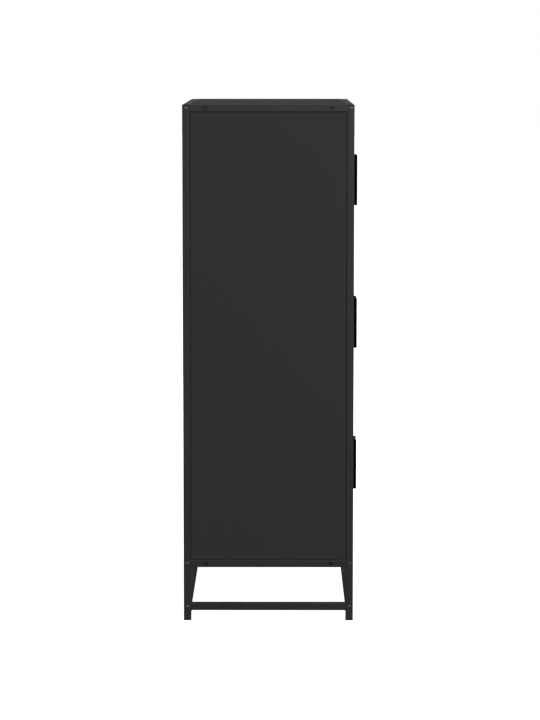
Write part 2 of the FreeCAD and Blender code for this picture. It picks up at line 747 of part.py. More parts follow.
def drawer_bottom(level):
    """Thin bottom in the grooves."""
    low = box_bottom(level) + BOTTOM_LIFT
    reach = BOX_INNER_SIDE + GROOVE_DEPTH - FIT_GAP
    return block((-reach, FRONT_REAR - GROOVE_DEPTH + FIT_GAP, low),
                 (reach, BOX_REAR - BOX_BOARD + GROOVE_DEPTH - FIT_GAP, low + BOTTOM_THICK))


def pull_middle(level):
    """Height of the middle of a pull, a little above the middle of its front."""
    return front_bottom(level) + FRONT_HEIGHT / 2 + PULL_ABOVE_MIDDLE


def pull_screw_heights(level):
    """Heights of the two pull screws."""
    reach = (PULL_HEIGHT - PULL_BAR) / 2
    return (pull_middle(level) - reach, pull_middle(level) + reach)


def pull_screws(level):
    """Two screws from inside the drawer into the posts of the pull."""
    shapes = []
    for height in pull_screw_heights(level):
        shank = rod(PULL_SCREW_RADIUS, (0, FRONT_REAR, height), (0, FRONT_FACE - PULL_SCREW_BITE, height))
        head = rod(PULL_SCREW_HEAD_RADIUS, (0, FRONT_REAR, height),
                   (0, FRONT_REAR + PULL_SCREW_HEAD_THICK, height))
        shapes.append(joined([shank, head]))
    return group(shapes)


def drawer_front(level):
    """Front board between the posts, with eased edges on its outer face."""
    low = front_bottom(level)
    reach = INNER_SIDE - FRONT_GAP
    board = block((-reach, FRONT_FACE, low), (reach, FRONT_REAR, low + FRONT_HEIGHT))
    rim = [edge for edge in board.Edges if edge.BoundBox.YMax < FRONT_FACE + 1e-3]
    board = board.makeFillet(FRONT_EDGE_ROUND, rim)
    cuts = [groove(level)]
    for place in cam_places(level):
        cuts += both_sides(cam_bolt(place, CAM_BOLT_RADIUS))
    for height in pull_screw_heights(level):
        cuts.append(rod(PULL_SCREW_RADIUS + PULL_SCREW_HOLE_CLEARANCE, (0, FRONT_FACE - 1, height),
                        (0, FRONT_REAR + 1, height)))
    return board.cut(cuts)


def pull(level):
    """Loop pull: two uprights, two set-back cross bars and two posts."""
    middle = pull_middle(level)
    low = middle - PULL_HEIGHT / 2
    high = middle + PULL_HEIGHT / 2
    rear = PULL_FACE + PULL_BAR_DEPTH
    bars = []
    for centre in (-PULL_SPACING / 2, PULL_SPACING / 2):
        upright = block((centre - PULL_BAR / 2, PULL_FACE, low), (centre + PULL_BAR / 2, rear, high))
        bars.append(upright.makeFillet(PULL_ROUND, upright.Edges))
    for height in pull_screw_heights(level):
        half = (PULL_BAR - PULL_SET_BACK) / 2
        bars.append(block((-PULL_SPACING / 2, PULL_FACE + PULL_SET_BACK, height - half),
                          (PULL_SPACING / 2, rear - PULL_ROUND, height + half)))
        bars.append(rod(PULL_POST_RADIUS - PULL_SET_BACK, (0, PULL_FACE + PULL_BAR_DEPTH / 2, height),
                        (0, FRONT_FACE, height)))
    return joined(bars).cut(pull_screws(level))


def save_frame():
    """The steel frame and its ends and bolts."""
    frame = side_frame()
    save("side_frame_right", frame)
    save("side_frame_left", mirrored(frame))
    names = ("stretcher", "lower_rail", "top_rail")
    for name, height in zip(names, RAIL_HEIGHTS):
        save("front_" + name, cross_rail(True, height))
        save("rear_" + name, cross_rail(False, height))
    save("foot_caps", post_ends(0.0, FOOT_THICK, FOOT_ROUND, False))
    save("post_caps", post_ends(POST_TOP, POST_CAP_THICK, POST_CAP_ROUND, True))
    save("frame_bolts", frame_bolts())


def save_carcase():
    """The boards, the brackets and the screws that hold them."""
    panel = side_panel()
    save("side_panel_right", panel)
    save("side_panel_left", mirrored(panel))
    save("bottom_board", flat_board(BOARD_HEIGHTS[0], BACK_PANEL_FRONT))
    save("top_board", flat_board(BOARD_HEIGHTS[1], BACK_PANEL_FRONT))
    save("back_panel", back_panel())
    save("board_screws", board_screws())
    save("back_panel_screws", back_panel_screws())
    save("corner_brackets", corner_brackets())
    save("bracket_screws", bracket_screws())
    save("cabinet_runner_screws", group(cabinet_runner_screw_set()))


def save_drawer(level, name):
    """One drawer with its runners and rollers."""
    side = drawer_side(level)
    save(name + "_cabinet_runners", group(both_sides(cabinet_runner(level))))
    save(name + "_front_rollers", front_rollers(level))
    save(name + "_drawer_front", drawer_front(level))
    save(name + "_drawer_side_right", side)
    save(name + "_drawer_side_left", mirrored(side))
    save(name + "_drawer_back", drawer_back(level))
    save(name + "_drawer_bottom", drawer_bottom(level))
    save(name + "_drawer_pull", pull(level))
    save(name + "_pull_screws", pull_screws(level))
    save(name + "_cam_fittings", cam_fittings(level))
    save(name + "_drawer_screws", group(box_screw_shapes(level) + runner_screw_shapes(level)))
    save(name + "_drawer_runners", group(both_sides(drawer_runner(level))))
    save(name + "_rear_rollers", rear_rollers(level))


os.makedirs("parts", exist_ok=True)
save_frame()
save_carcase()
for drawer_level, drawer_name in enumerate(DRAWERS):
    save_drawer(drawer_level, drawer_name)
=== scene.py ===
import math

import bpy
from mathutils import Matrix, Vector


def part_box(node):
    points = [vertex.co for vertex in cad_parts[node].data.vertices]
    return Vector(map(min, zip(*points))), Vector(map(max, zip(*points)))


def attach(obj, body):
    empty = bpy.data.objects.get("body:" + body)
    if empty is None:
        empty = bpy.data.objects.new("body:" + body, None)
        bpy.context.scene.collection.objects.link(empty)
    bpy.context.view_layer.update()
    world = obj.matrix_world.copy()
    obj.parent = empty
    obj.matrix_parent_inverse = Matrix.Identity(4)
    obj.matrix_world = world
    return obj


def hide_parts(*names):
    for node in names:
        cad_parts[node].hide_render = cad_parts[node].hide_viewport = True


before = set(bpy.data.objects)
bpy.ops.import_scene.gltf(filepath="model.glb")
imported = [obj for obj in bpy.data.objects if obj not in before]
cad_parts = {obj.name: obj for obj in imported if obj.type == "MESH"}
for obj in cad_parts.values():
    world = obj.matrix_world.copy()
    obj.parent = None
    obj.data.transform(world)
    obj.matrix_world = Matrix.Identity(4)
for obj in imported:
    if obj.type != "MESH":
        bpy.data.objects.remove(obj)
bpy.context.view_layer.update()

bl_info = {
    "name": "Tall chest of drawers finishes",
    "version": (1, 0, 0),
    "blender": (4, 5, 0),
    "location": "3D View > Sidebar > Chest",
    "description": "Pulls, feet, caps, welds, edging and finishes for a framed chest of three drawers",
    "category": "Object",
}

MM = 0.001
DRAWERS = ("lower", "middle", "upper")
SIDES = ("left", "right")

# A face looks along an axis when its normal's part along that axis is over FACING. Points nearer than NEAR
# are taken to lie in the same plane, and those nearer than MERGE_WITHIN become one.
FACING = 0.9
NEAR = 0.1 * MM
MERGE_WITHIN = 0.01 * MM
SHARP_EDGE = math.radians(30)
RIM_STEPS = 4

FRAME_NODES = ["side_frame_left", "side_frame_right"] + [
    end + "_" + rail for end in ("front", "rear") for rail in ("top_rail", "lower_rail", "stretcher")]
CARCASE_BOARDS = ["side_panel_left", "side_panel_right", "top_board", "bottom_board"]
BOX_BOARDS = [drawer + "_drawer_" + board for drawer in DRAWERS
              for board in ("front", "side_left", "side_right", "back")]
THIN_BOARDS = ["back_panel"] + [drawer + "_drawer_bottom" for drawer in DRAWERS]
SHEET_PARTS = ["corner_brackets"] + [drawer + part for drawer in DRAWERS
                                     for part in ("_cabinet_runners", "_drawer_runners")]
ROLLERS = [drawer + part for drawer in DRAWERS for part in ("_front_rollers", "_rear_rollers")]
BRIGHT_SCREWS = ["bracket_screws", "cabinet_runner_screws"] + [
    drawer + "_drawer_screws" for drawer in DRAWERS]
DARK_BOLTS = ["frame_bolts"]
GREY_SCREWS = ["board_screws", "back_panel_screws"]
CAMS = [drawer + "_cam_fittings" for drawer in DRAWERS]


class ChestColours(bpy.types.PropertyGroup):
    """Colours of the finishes."""

    frame_coat: bpy.props.FloatVectorProperty(
        name="Frame coat", description="Powder coat on the steel frame", subtype="COLOR", size=3,
        default=(0.0222, 0.0222, 0.0228), min=0, max=1)
    board: bpy.props.FloatVectorProperty(
        name="Board", description="Melamine face of the boards", subtype="COLOR", size=3,
        default=(0.0362, 0.0362, 0.0366), min=0, max=1)
    pull: bpy.props.FloatVectorProperty(
        name="Pull", description="Satin coat on the pulls", subtype="COLOR", size=3,
        default=(0.0008, 0.0008, 0.0009), min=0, max=1)
    plastic: bpy.props.FloatVectorProperty(
        name="Plastic", description="Moulded feet and caps", subtype="COLOR", size=3,
        default=(0.003, 0.003, 0.0031), min=0, max=1)
    nylon: bpy.props.FloatVectorProperty(
        name="Nylon", description="Runner rollers", subtype="COLOR", size=3,
        default=(0.72, 0.72, 0.68), min=0, max=1)


class ChestSizes(bpy.types.PropertyGroup):
    """Sizes of the pieces made here."""

    pull_edge: bpy.props.FloatProperty(
        name="Pull edge", description="Rounding of the pull's bars", unit="LENGTH", default=0.9 * MM)
    pull_post: bpy.props.FloatProperty(
        name="Pull post", description="Radius of the two posts behind a pull", unit="LENGTH",
        default=3.5 * MM)
    tube_corner: bpy.props.FloatProperty(
        name="Tube corner", description="Rounding of the tube's long edges", unit="LENGTH", default=2 * MM)
    foot_edge: bpy.props.FloatProperty(
        name="Foot edge", description="Rounding round the sole of a foot", unit="LENGTH", default=0.8 * MM)
    bead_leg: bpy.props.FloatProperty(
        name="Weld leg", description="Radius of a weld bead's scales", unit="LENGTH", default=1.5 * MM)
    edging: bpy.props.FloatProperty(
        name="Edging", description="Thickness of the edging round a drawer front", unit="LENGTH",
        default=1.0 * MM)
    wear: bpy.props.FloatProperty(
        name="Wear", description="How much the edges have lightened", default=0.15, min=0, max=1,
        subtype="FACTOR")


def colours():
    """The scene's colours."""
    return bpy.context.scene.chest_colours


def sizes():
    """The scene's sizes."""
    return bpy.context.scene.chest_sizes


# Modelling

def deselect():
    """Leaves nothing selected."""
    bpy.ops.object.select_all(action="DESELECT")


def only(piece):
    """Makes one piece the selected and active one."""
    deselect()
    piece.select_set(True)
    bpy.context.view_layer.objects.active = piece


def settle(piece, name):
    """Names a piece and puts its place, turn and size into its mesh."""
    only(piece)
    bpy.ops.object.transform_apply(location=True, rotation=True, scale=True)
    piece.name = name
    piece.data.name = name
    return piece


def block(name, low, high):
    """A block between two corners."""
    low, high = Vector(low), Vector(high)
    deselect()
    bpy.ops.mesh.primitive_cube_add(size=1, location=(low + high) / 2, scale=high - low)
    return settle(bpy.context.object, name)


def rod(name, radius, start, end, sides):
    """A round bar between two points."""
    start, end = Vector(start), Vector(end)
    run = end - start
    turn = run.to_track_quat("Z", "Y").to_euler()
    deselect()
    bpy.ops.mesh.primitive_cylinder_add(vertices=sides, radius=radius, depth=run.length,
                                        location=(start + end) / 2, rotation=turn)
    return settle(bpy.context.object, name)


def pick_faces(piece, wanted):
    """Opens a piece in edit mode with the wanted faces selected."""
    only(piece)
    bpy.ops.object.mode_set(mode="EDIT")
    bpy.ops.mesh.select_mode(type="FACE")
    bpy.ops.mesh.select_all(action="DESELECT")
    bpy.ops.object.mode_set(mode="OBJECT")
    found = 0
    for face in piece.data.polygons:
        face.select = bool(wanted(face))
        found += face.select
    if not found:
        raise RuntimeError("no face of " + piece.name + " was picked")
    bpy.ops.object.mode_set(mode="EDIT")


def pick_edges(piece, wanted):
    """Opens a piece in edit mode with the wanted edges selected; wanted takes the two ends."""
    only(piece)
    bpy.ops.object.mode_set(mode="EDIT")
    bpy.ops.mesh.select_mode(type="EDGE")
    bpy.ops.mesh.select_all(action="DESELECT")
    bpy.ops.object.mode_set(mode="OBJECT")
    found = 0
    for edge in piece.data.edges:
        ends = [piece.data.vertices[i].co for i in edge.vertices]
        edge.select = bool(wanted(*ends))
        found += edge.select
    if not found:
        raise RuntimeError("no edge of " + piece.name + " was picked")
    bpy.ops.object.mode_set(mode="EDIT")


def done():
    """Closes edit mode."""
    bpy.ops.object.mode_set(mode="OBJECT")


def bisect(piece, point, normal):
    """Cuts new edges right through a piece along a plane."""
    only(piece)
    bpy.ops.object.mode_set(mode="EDIT")
    bpy.ops.mesh.select_all(action="SELECT")
    bpy.ops.mesh.bisect(plane_co=point, plane_no=normal)
    done()


def applied(piece, kind, **settings):
    """Adds a modifier and applies it."""
    only(piece)
    modifier = piece.modifiers.new(kind.title(), kind)
    for key, value in settings.items():
        setattr(modifier, key, value)
    bpy.ops.object.modifier_apply(modifier=modifier.name)
    return piece


def rounded(piece, width, segments):
    """Rounds every sharp edge."""
    return applied(piece, "BEVEL", width=width, segments=segments, limit_method="ANGLE",
                   angle_limit=SHARP_EDGE)


def together(name, pieces):
    """Joins several shells into one piece."""
    deselect()
    for piece in pieces:
        piece.select_set(True)
    bpy.context.view_layer.objects.active = pieces[0]
    bpy.ops.object.join()
    joined = bpy.context.object
    joined.name = name
    joined.data.name = name
    return joined


def copy_of(piece, name, step):
    """A copy with its own mesh, moved by a step."""
    mesh = piece.data.copy()
    mesh.name = name
    mesh.transform(Matrix.Translation(step))
    twin = bpy.data.objects.new(name, mesh)
    bpy.context.scene.collection.objects.link(twin)
    return twin


def square_block(name, corner, width, thick, corner_round):
    """A flat square block with its four upright edges rounded."""
    piece = block(name, corner, corner + Vector((width, width, thick)))
    pick_edges(piece, lambda a, b: abs(a.z - b.z) > thick / 2)
    bpy.ops.mesh.bevel(offset=corner_round, segments=5)
    done()
    return piece


def round_end(up, radius):
    """Turns the selected flat end into one with a rounded rim; up is 1 on a top and -1 on an underside."""
    bpy.ops.transform.translate(value=(0, 0, -up * radius))
    inset = rise = 0.0
    for step in range(1, RIM_STEPS + 1):
        turn = math.pi / 2 * step / RIM_STEPS
        next_inset, next_rise = radius * (1 - math.cos(turn)), radius * math.sin(turn)
        bpy.ops.mesh.inset(thickness=next_inset - inset)
        bpy.ops.transform.translate(value=(0, 0, up * (next_rise - rise)))
        inset, rise = next_inset, next_rise


def drawn_out(rise, share):
    """Extrudes the selected end along Z and scales its width by a share."""
    bpy.ops.mesh.extrude_region_move(
        TRANSFORM_OT_translate={"value": (0, 0, rise), "orient_type": "GLOBAL"})
    if share != 1.0:
        bpy.ops.transform.resize(value=(share, share, 1))


def outward(piece):
    """Merges doubles and turns every face outwards."""
    only(piece)
    bpy.ops.object.mode_set(mode="EDIT")
    bpy.ops.mesh.select_all(action="SELECT")
    bpy.ops.mesh.remove_doubles(threshold=MERGE_WITHIN)
    bpy.ops.mesh.normals_make_consistent(inside=False)
    done()
    return piece


def tube_width():
    """Width of the square tube of the frame."""
    low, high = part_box("front_top_rail")
    return high.z - low.z


def at_posts(kind, pattern, low, high, width):
    """Copies of a pattern, made at the low X, low Y post, for all four posts."""
    across, along = high.x - low.x - width, high.y - low.y - width
    made = []
    for end, step_y in (("front", 0), ("rear", along)):
        for side, step_x in (("left", 0), ("right", across)):
            name = kind + "_" + end + "_" + side
            made.append(copy_of(pattern, name, (step_x, step_y, 0)))
    bpy.data.objects.remove(pattern)
    return made


def dressed(piece, material, body, smooth=35):
    """Gives a finished piece its material, body, slot and smooth faces."""
    only(piece)
    bpy.ops.object.shade_smooth_by_angle(angle=math.radians(smooth))
    piece.data.materials.clear()
    piece.data.materials.append(material)
    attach(piece, body)
    return piece


def coat(names, material):
    """Gives CAD nodes a material."""
    for name in names:
        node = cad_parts[name]
        if not node.material_slots:
            node.data.materials.append(material)
        for place in node.material_slots:
            place.material = material


# Shader groups and materials

def group(name, inputs):
    """A new shader group with float inputs and one float output named Mask."""
    tree = bpy.data.node_groups.new(name, "ShaderNodeTree")
    for label, value in inputs.items():
        socket = tree.interface.new_socket(label, in_out="INPUT", socket_type="NodeSocketFloat")
        socket.default_value = value
    tree.interface.new_socket("Mask", in_out="OUTPUT", socket_type="NodeSocketFloat")
    return tree, tree.nodes.new("NodeGroupInput"), tree.nodes.new("NodeGroupOutput")


def math_node(tree, operation, first, second=None, clamp=False):
    """A Math node on sockets or numbers."""
    node = tree.nodes.new("ShaderNodeMath")
    node.operation = operation
    node.use_clamp = clamp
    for place, value in enumerate((first, second)):
        if value is None:
            continue
        if isinstance(value, (int, float)):
            node.inputs[place].default_value = value
        else:
            tree.links.new(value, node.inputs[place])
    return node.outputs[0]


def ramp_node(tree, value, low, high, out_low=0.0, out_high=1.0):
    """A smooth Map Range node."""
    node = tree.nodes.new("ShaderNodeMapRange")
    node.interpolation_type = "SMOOTHSTEP"
    tree.links.new(value, node.inputs["Value"])
    for label, number in (("From Min", low), ("From Max", high), ("To Min", out_low), ("To Max", out_high)):
        node.inputs[label].default_value = number
    return node.outputs["Result"]


def object_noise(tree, scale, detail=3.0):
    """Noise on Object coordinates; scale is a socket."""
    place = tree.nodes.new("ShaderNodeTexCoord")
    noise = tree.nodes.new("ShaderNodeTexNoise")
    tree.links.new(place.outputs["Object"], noise.inputs["Vector"])
    tree.links.new(scale, noise.inputs["Scale"])
    noise.inputs["Detail"].default_value = detail
    return noise.outputs["Fac"]


def edge_wear_group():
    """Mask that is 1 on worn, sharp edges, broken up by noise."""
    tree, given, made = group("Edge wear", {"Radius": 1 * MM, "Amount": 0.35, "Break-up": 220.0})
    bevel = tree.nodes.new("ShaderNodeBevel")
    bevel.samples = 6
    surface = tree.nodes.new("ShaderNodeNewGeometry")
    dot = tree.nodes.new("ShaderNodeVectorMath")
    dot.operation = "DOT_PRODUCT"
    tree.links.new(given.outputs["Radius"], bevel.inputs["Radius"])
    tree.links.new(bevel.outputs["Normal"], dot.inputs[0])
    tree.links.new(surface.outputs["Normal"], dot.inputs[1])
    bend = math_node(tree, "SUBTRACT", 1.0, dot.outputs["Value"])
    slight_bend, full_bend = 0.02, 0.22
    edge = ramp_node(tree, bend, slight_bend, full_bend)
    coated, bare = 0.38, 0.68
    patches = ramp_node(tree, object_noise(tree, given.outputs["Break-up"]), coated, bare)
    worn = math_node(tree, "MULTIPLY", edge, patches)
    mask = math_node(tree, "MULTIPLY", worn, given.outputs["Amount"], clamp=True)
    tree.links.new(mask, made.inputs["Mask"])
    return tree


def dust_group():
    """Mask of thin dust on faces that look up."""
    tree, given, made = group("Dust", {"Amount": 0.2, "Patch": 60.0})
    surface = tree.nodes.new("ShaderNodeNewGeometry")
    parts = tree.nodes.new("ShaderNodeSeparateXYZ")
    tree.links.new(surface.outputs["Normal"], parts.inputs[0])
    sloping, level = 0.55, 0.98
    up = ramp_node(tree, parts.outputs["Z"], sloping, level)
    clean, covered = 0.3, 0.75
    patches = ramp_node(tree, object_noise(tree, given.outputs["Patch"], detail=5), clean, covered)
    dusty = math_node(tree, "MULTIPLY", up, patches)
    mask = math_node(tree, "MULTIPLY", dusty, given.outputs["Amount"], clamp=True)
    tree.links.new(mask, made.inputs["Mask"])
    return tree


def grain_group():
    """Mask of fine speckle and slow cloudiness, for coats, boards and mouldings."""
    tree, given, made = group("Fine grain", {"Speckle": 1400.0, "Cloud": 9.0, "Cloud share": 0.4})
    speckle = object_noise(tree, given.outputs["Speckle"], detail=2)
    cloud = object_noise(tree, given.outputs["Cloud"], detail=4)
    share = math_node(tree, "MULTIPLY", cloud, given.outputs["Cloud share"])
    rest = math_node(tree, "SUBTRACT", 1.0, given.outputs["Cloud share"])
    mask = math_node(tree, "ADD", math_node(tree, "MULTIPLY", speckle, rest), share, clamp=True)
    tree.links.new(mask, made.inputs["Mask"])
    return tree


def use_group(tree, name, **values):
    """Places a shader group in a material and sets its inputs, with _ for a space in their names."""
    node = tree.nodes.new("ShaderNodeGroup")
    node.node_tree = bpy.data.node_groups[name]
    for label, value in values.items():
        node.inputs[label.replace("_", " ")].default_value = value
    return node.outputs["Mask"]


def mix_colour(tree, mask, first, second):
    """Mixes two colours, each a tuple or a socket; a Mix node has one pair of sockets for each data type."""
    node = tree.nodes.new("ShaderNodeMix")
    node.data_type = "RGBA"
    tree.links.new(mask, node.inputs["Factor"])
    colour_a, colour_b, colour_out = node.inputs[6], node.inputs[7], node.outputs[2]
    for socket, value in ((colour_a, first), (colour_b, second)):
        if isinstance(value, tuple):
            socket.default_value = (*value, 1.0)
        else:
            tree.links.new(value, socket)
    return colour_out


def shade(colour, factor):
    """A colour made lighter or darker."""
    return tuple(min(1.0, part * factor) for part in colour)


# Most of the grain mask's values lie in GRAIN_MIDDLE. Dust adds DUST_DULLS to the roughness and wear takes
# WEAR_POLISHES from it.
GRAIN_MIDDLE = (0.25, 0.75)
DUST_COLOUR = (0.22, 0.21, 0.2)
DUST_DULLS = 0.5
WORN_LIGHTER = 5.0
WEAR_POLISHES = 0.2


def finish_material(name, colour, roughness, specular, grain, vary, rough_vary, bump, wear=None, dust=None,
                    metallic=0.0, worn_colour=None):
    """A material of one base colour with grain, bump, edge wear and dust.

    grain is the input values of the Fine grain group, vary the darkest and lightest shade factors, rough_vary
    how far the roughness strays, and bump the strength and height in metres of the surface texture. wear and
    dust are the input values of their groups."""
    material = bpy.data.materials.new(name)
    material.use_nodes = True
    tree = material.node_tree
    shader = tree.nodes["Principled BSDF"]
    mask = use_group(tree, "Fine grain", **grain)
    darkest, lightest = vary
    tone = mix_colour(tree, mask, shade(colour, darkest), shade(colour, lightest))
    rough = ramp_node(tree, mask, *GRAIN_MIDDLE, roughness - rough_vary, roughness + rough_vary)
    if wear:
        worn = use_group(tree, "Edge wear", **wear)
        tone = mix_colour(tree, worn, tone, worn_colour or shade(colour, WORN_LIGHTER))
        polish = math_node(tree, "MULTIPLY", worn, WEAR_POLISHES)
        rough = math_node(tree, "SUBTRACT", rough, polish, clamp=True)
    if dust:
        dusty = use_group(tree, "Dust", **dust)
        tone = mix_colour(tree, dusty, tone, DUST_COLOUR)
        dulling = math_node(tree, "MULTIPLY", dusty, DUST_DULLS)
        rough = math_node(tree, "ADD", rough, dulling, clamp=True)
    tree.links.new(tone, shader.inputs["Base Color"])
    tree.links.new(rough, shader.inputs["Roughness"])
    shader.inputs["Specular IOR Level"].default_value = specular
    shader.inputs["Metallic"].default_value = metallic
    relief = tree.nodes.new("ShaderNodeBump")
    strength, height = bump
    relief.inputs["Strength"].default_value = strength
    relief.inputs["Distance"].default_value = height
    tree.links.new(mask, relief.inputs["Height"])
    tree.links.new(relief.outputs["Normal"], shader.inputs["Normal"])
    return material


def powder_coat():
    """Fine matt powder coat with an orange-peel skin."""
    return finish_material(
        "powder_coat", tuple(colours().frame_coat), roughness=0.38, specular=0.45,
        grain={"Speckle": 1500.0, "Cloud": 14.0, "Cloud_share": 0.25}, vary=(0.9, 1.12), rough_vary=0.05,
        bump=(0.35, 0.05 * MM), wear={"Radius": 0.9 * MM, "Amount": sizes().wear, "Break-up": 260.0},
        dust={"Amount": 0.03, "Patch": 40.0})


def melamine():
    """Black melamine board with a fine pearl texture."""
    return finish_material(
        "black_melamine", tuple(colours().board), roughness=0.55, specular=0.14,
        grain={"Speckle": 900.0, "Cloud": 5.0, "Cloud_share": 0.35}, vary=(0.92, 1.08), rough_vary=0.04,
        bump=(0.25, 0.06 * MM), wear={"Radius": 0.5 * MM, "Amount": sizes().wear * 0.5, "Break-up": 180.0},
        dust={"Amount": 0.025, "Patch": 25.0})


def edging_plastic():
    """Edging strip: a little smoother and darker than the board."""
    return finish_material(
        "edging", shade(tuple(colours().board), 0.8), roughness=0.36, specular=0.3,
        grain={"Speckle": 700.0, "Cloud": 12.0, "Cloud_share": 0.4}, vary=(0.9, 1.1), rough_vary=0.04,
        bump=(0.15, 0.04 * MM), wear={"Radius": 0.4 * MM, "Amount": sizes().wear, "Break-up": 300.0})


def moulded_plastic():
    """Injection-moulded black plastic."""
    return finish_material(
        "moulded_plastic", tuple(colours().plastic), roughness=0.5, specular=0.06,
        grain={"Speckle": 1900.0, "Cloud": 30.0, "Cloud_share": 0.3}, vary=(0.85, 1.15), rough_vary=0.06,
        bump=(0.3, 0.05 * MM), wear={"Radius": 0.6 * MM, "Amount": sizes().wear, "Break-up": 400.0})


def satin_coat():
    """Satin near-black coat of the pulls."""
    return finish_material(
        "satin_coat", tuple(colours().pull), roughness=0.45, specular=0.012,
        grain={"Speckle": 2200.0, "Cloud": 40.0, "Cloud_share": 0.3}, vary=(0.85, 1.2), rough_vary=0.05,
        bump=(0.2, 0.03 * MM), wear={"Radius": 0.5 * MM, "Amount": sizes().wear * 0.3, "Break-up": 500.0},
        worn_colour=(0.01, 0.01, 0.0105))


def dark_plating():
    """Dark plated steel of the frame bolts."""
    return finish_material(
        "dark_plated_steel", (0.17, 0.17, 0.175), roughness=0.2, specular=0.5, metallic=0.85,
        grain={"Speckle": 2600.0, "Cloud": 160.0, "Cloud_share": 0.4}, vary=(0.75, 1.25), rough_vary=0.08,
        bump=(0.2, 0.03 * MM), wear={"Radius": 0.4 * MM, "Amount": 0.4, "Break-up": 600.0},
        worn_colour=(0.2, 0.2, 0.205))


def phosphated_steel():
    """Grey phosphated steel of the screws in the side rails and the back."""
    return finish_material(
        "phosphated_steel", (0.24, 0.24, 0.243), roughness=0.36, specular=0.5, metallic=0.7,
        grain={"Speckle": 2600.0, "Cloud": 160.0, "Cloud_share": 0.4}, vary=(0.8, 1.2), rough_vary=0.06,
        bump=(0.2, 0.03 * MM), wear={"Radius": 0.3 * MM, "Amount": 0.3, "Break-up": 600.0},
        worn_colour=(0.32, 0.32, 0.325))


def zinc_sheet():
    """Zinc-plated sheet with faint clouding."""
    return finish_material(
        "zinc_sheet", (0.5, 0.51, 0.52), roughness=0.34, specular=0.5, metallic=1.0,
        grain={"Speckle": 420.0, "Cloud": 70.0, "Cloud_share": 0.6}, vary=(0.72, 1.15), rough_vary=0.09,
        bump=(0.12, 0.04 * MM), wear={"Radius": 0.4 * MM, "Amount": 0.5, "Break-up": 300.0},
        worn_colour=(0.8, 0.8, 0.8))


def bright_screw_steel():
    """Bright plated screws."""
    return finish_material(
        "bright_screw_steel", (0.56, 0.56, 0.55), roughness=0.28, specular=0.5, metallic=1.0,
        grain={"Speckle": 2400.0, "Cloud": 220.0, "Cloud_share": 0.5}, vary=(0.7, 1.15), rough_vary=0.07,
        bump=(0.15, 0.02 * MM))


def cast_zinc():
    """Grey cast alloy of the cams."""
    return finish_material(
        "cast_zinc", (0.4, 0.4, 0.41), roughness=0.45, specular=0.5, metallic=0.9,
        grain={"Speckle": 1300.0, "Cloud": 120.0, "Cloud_share": 0.4}, vary=(0.7, 1.1), rough_vary=0.06,
        bump=(0.4, 0.05 * MM), wear={"Radius": 0.4 * MM, "Amount": 0.4, "Break-up": 500.0},
        worn_colour=(0.7, 0.7, 0.7))


def roller_nylon():
    """Off-white nylon with a grey track where it rolls."""
    return finish_material(
        "roller_nylon", tuple(colours().nylon), roughness=0.4, specular=0.45,
        grain={"Speckle": 800.0, "Cloud": 90.0, "Cloud_share": 0.6}, vary=(0.8, 1.05), rough_vary=0.05,
        bump=(0.2, 0.04 * MM), wear={"Radius": 0.8 * MM, "Amount": 0.5, "Break-up": 350.0},
        worn_colour=(0.35, 0.35, 0.34))


def fibreboard():
    """Thin fibreboard, black on its face, with short pressed fibres."""
    return finish_material(
        "fibreboard", shade(tuple(colours().board), 1.15), roughness=0.62, specular=0.2,
        grain={"Speckle": 520.0, "Cloud": 16.0, "Cloud_share": 0.4}, vary=(0.75, 1.3), rough_vary=0.06,
        bump=(0.5, 0.1 * MM), dust={"Amount": 0.04, "Patch": 30.0})


# Operators

class CHEST_OT_shader_groups(bpy.types.Operator):
    """Build the shader groups that the finishes share"""

    bl_idname = "chest.shader_groups"
    bl_label = "Shader groups"

    def execute(self, context):
        edge_wear_group()
        dust_group()
        grain_group()
        return {"FINISHED"}


